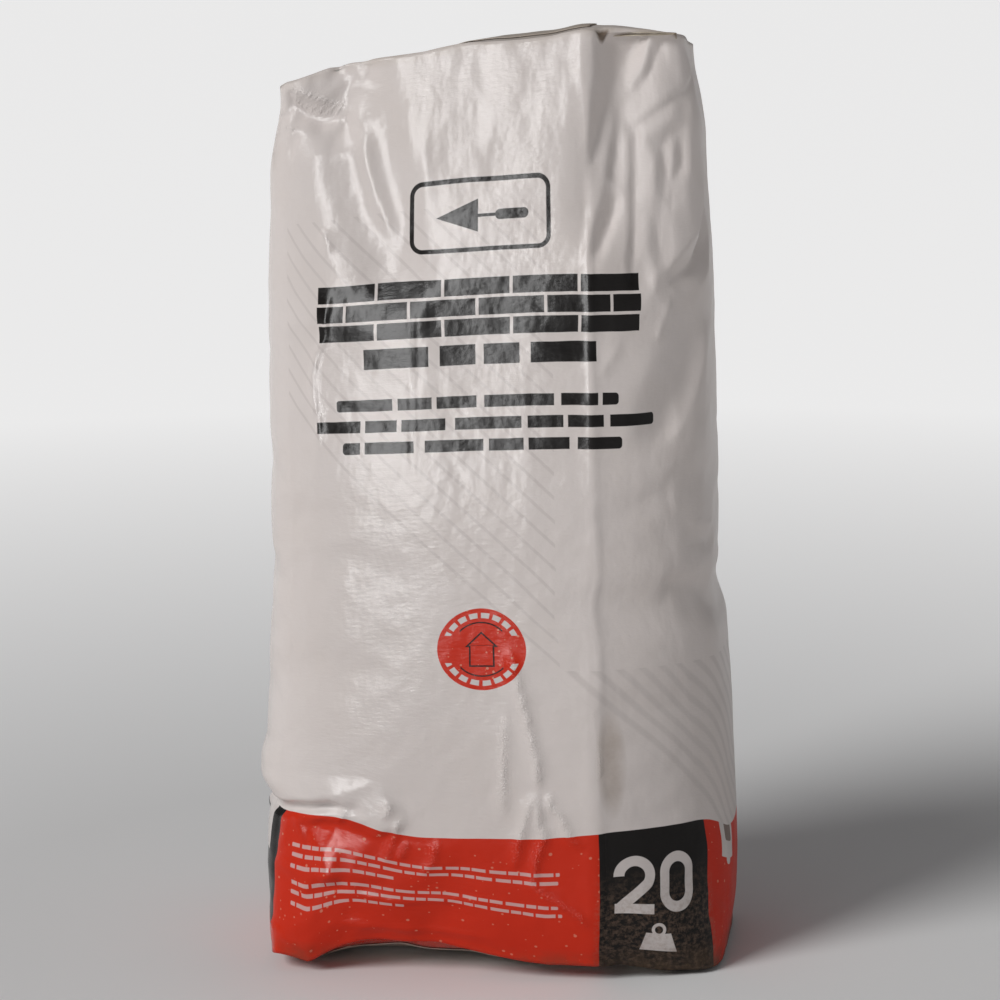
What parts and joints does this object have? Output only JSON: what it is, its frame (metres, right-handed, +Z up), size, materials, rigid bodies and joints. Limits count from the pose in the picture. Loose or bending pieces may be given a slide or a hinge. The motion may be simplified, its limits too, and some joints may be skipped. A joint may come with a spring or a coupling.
{
  "type": "filled cement bag",
  "caption": "Upright block-bottom valve sack of woven plastic film, filled with cement and bulged, with a flat base to stand on.",
  "frame": {"origin": "middle of the sack's box, on the floor that it stands on", "axes": "+Z up along the sack's length, -Y out of the printed front, +X to the right of the front"},
  "size_m": [0.2634, 0.1538, 0.5213],
  "materials": {
    "sack_film": "glossy laminated woven polypropylene, white with a red and a black printed band at the base",
    "patch_film": "the same film, dusty with cement",
    "sleeve_film": "cream film, stained brown round the mouth",
    "cement": "fine grey powder, packed"
  },
  "bodies": {
    "root": {"sack_body": "sack_film", "top_cover_patch": "patch_film", "bottom_cover_patch": "patch_film", "valve_sleeve": "sleeve_film", "cement_fill": "cement"}
  },
  "joints": []
}
